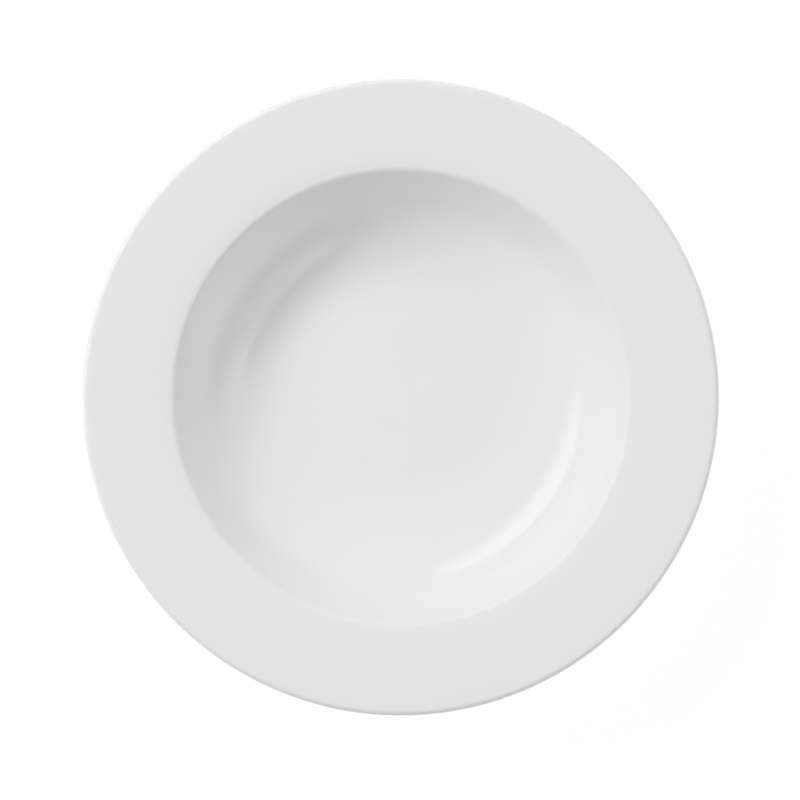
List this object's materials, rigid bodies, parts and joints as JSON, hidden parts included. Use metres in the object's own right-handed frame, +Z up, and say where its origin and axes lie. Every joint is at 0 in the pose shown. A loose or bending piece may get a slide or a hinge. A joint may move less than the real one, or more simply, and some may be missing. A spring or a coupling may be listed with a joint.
{
  "type": "rimmed soup plate",
  "caption": "Round deep plate with a broad gently sloping rim, a steep-walled well and a foot ring, in glossy white glazed porcelain with a bare foot.",
  "frame": {"origin": "middle of the foot ring's bearing face, on the table", "axes": "+Z up along the plate's axis of revolution; +X and +Y are any two directions across it, since the plate is round"},
  "size_m": [0.24, 0.24, 0.04],
  "materials": {
    "bare_porcelain": "fired, unglazed, matt",
    "white_glaze": "glossy clear glaze on white porcelain"
  },
  "bodies": {
    "root": {"porcelain_body": "bare_porcelain", "outer_glaze": "white_glaze", "base_glaze": "white_glaze"}
  },
  "joints": []
}
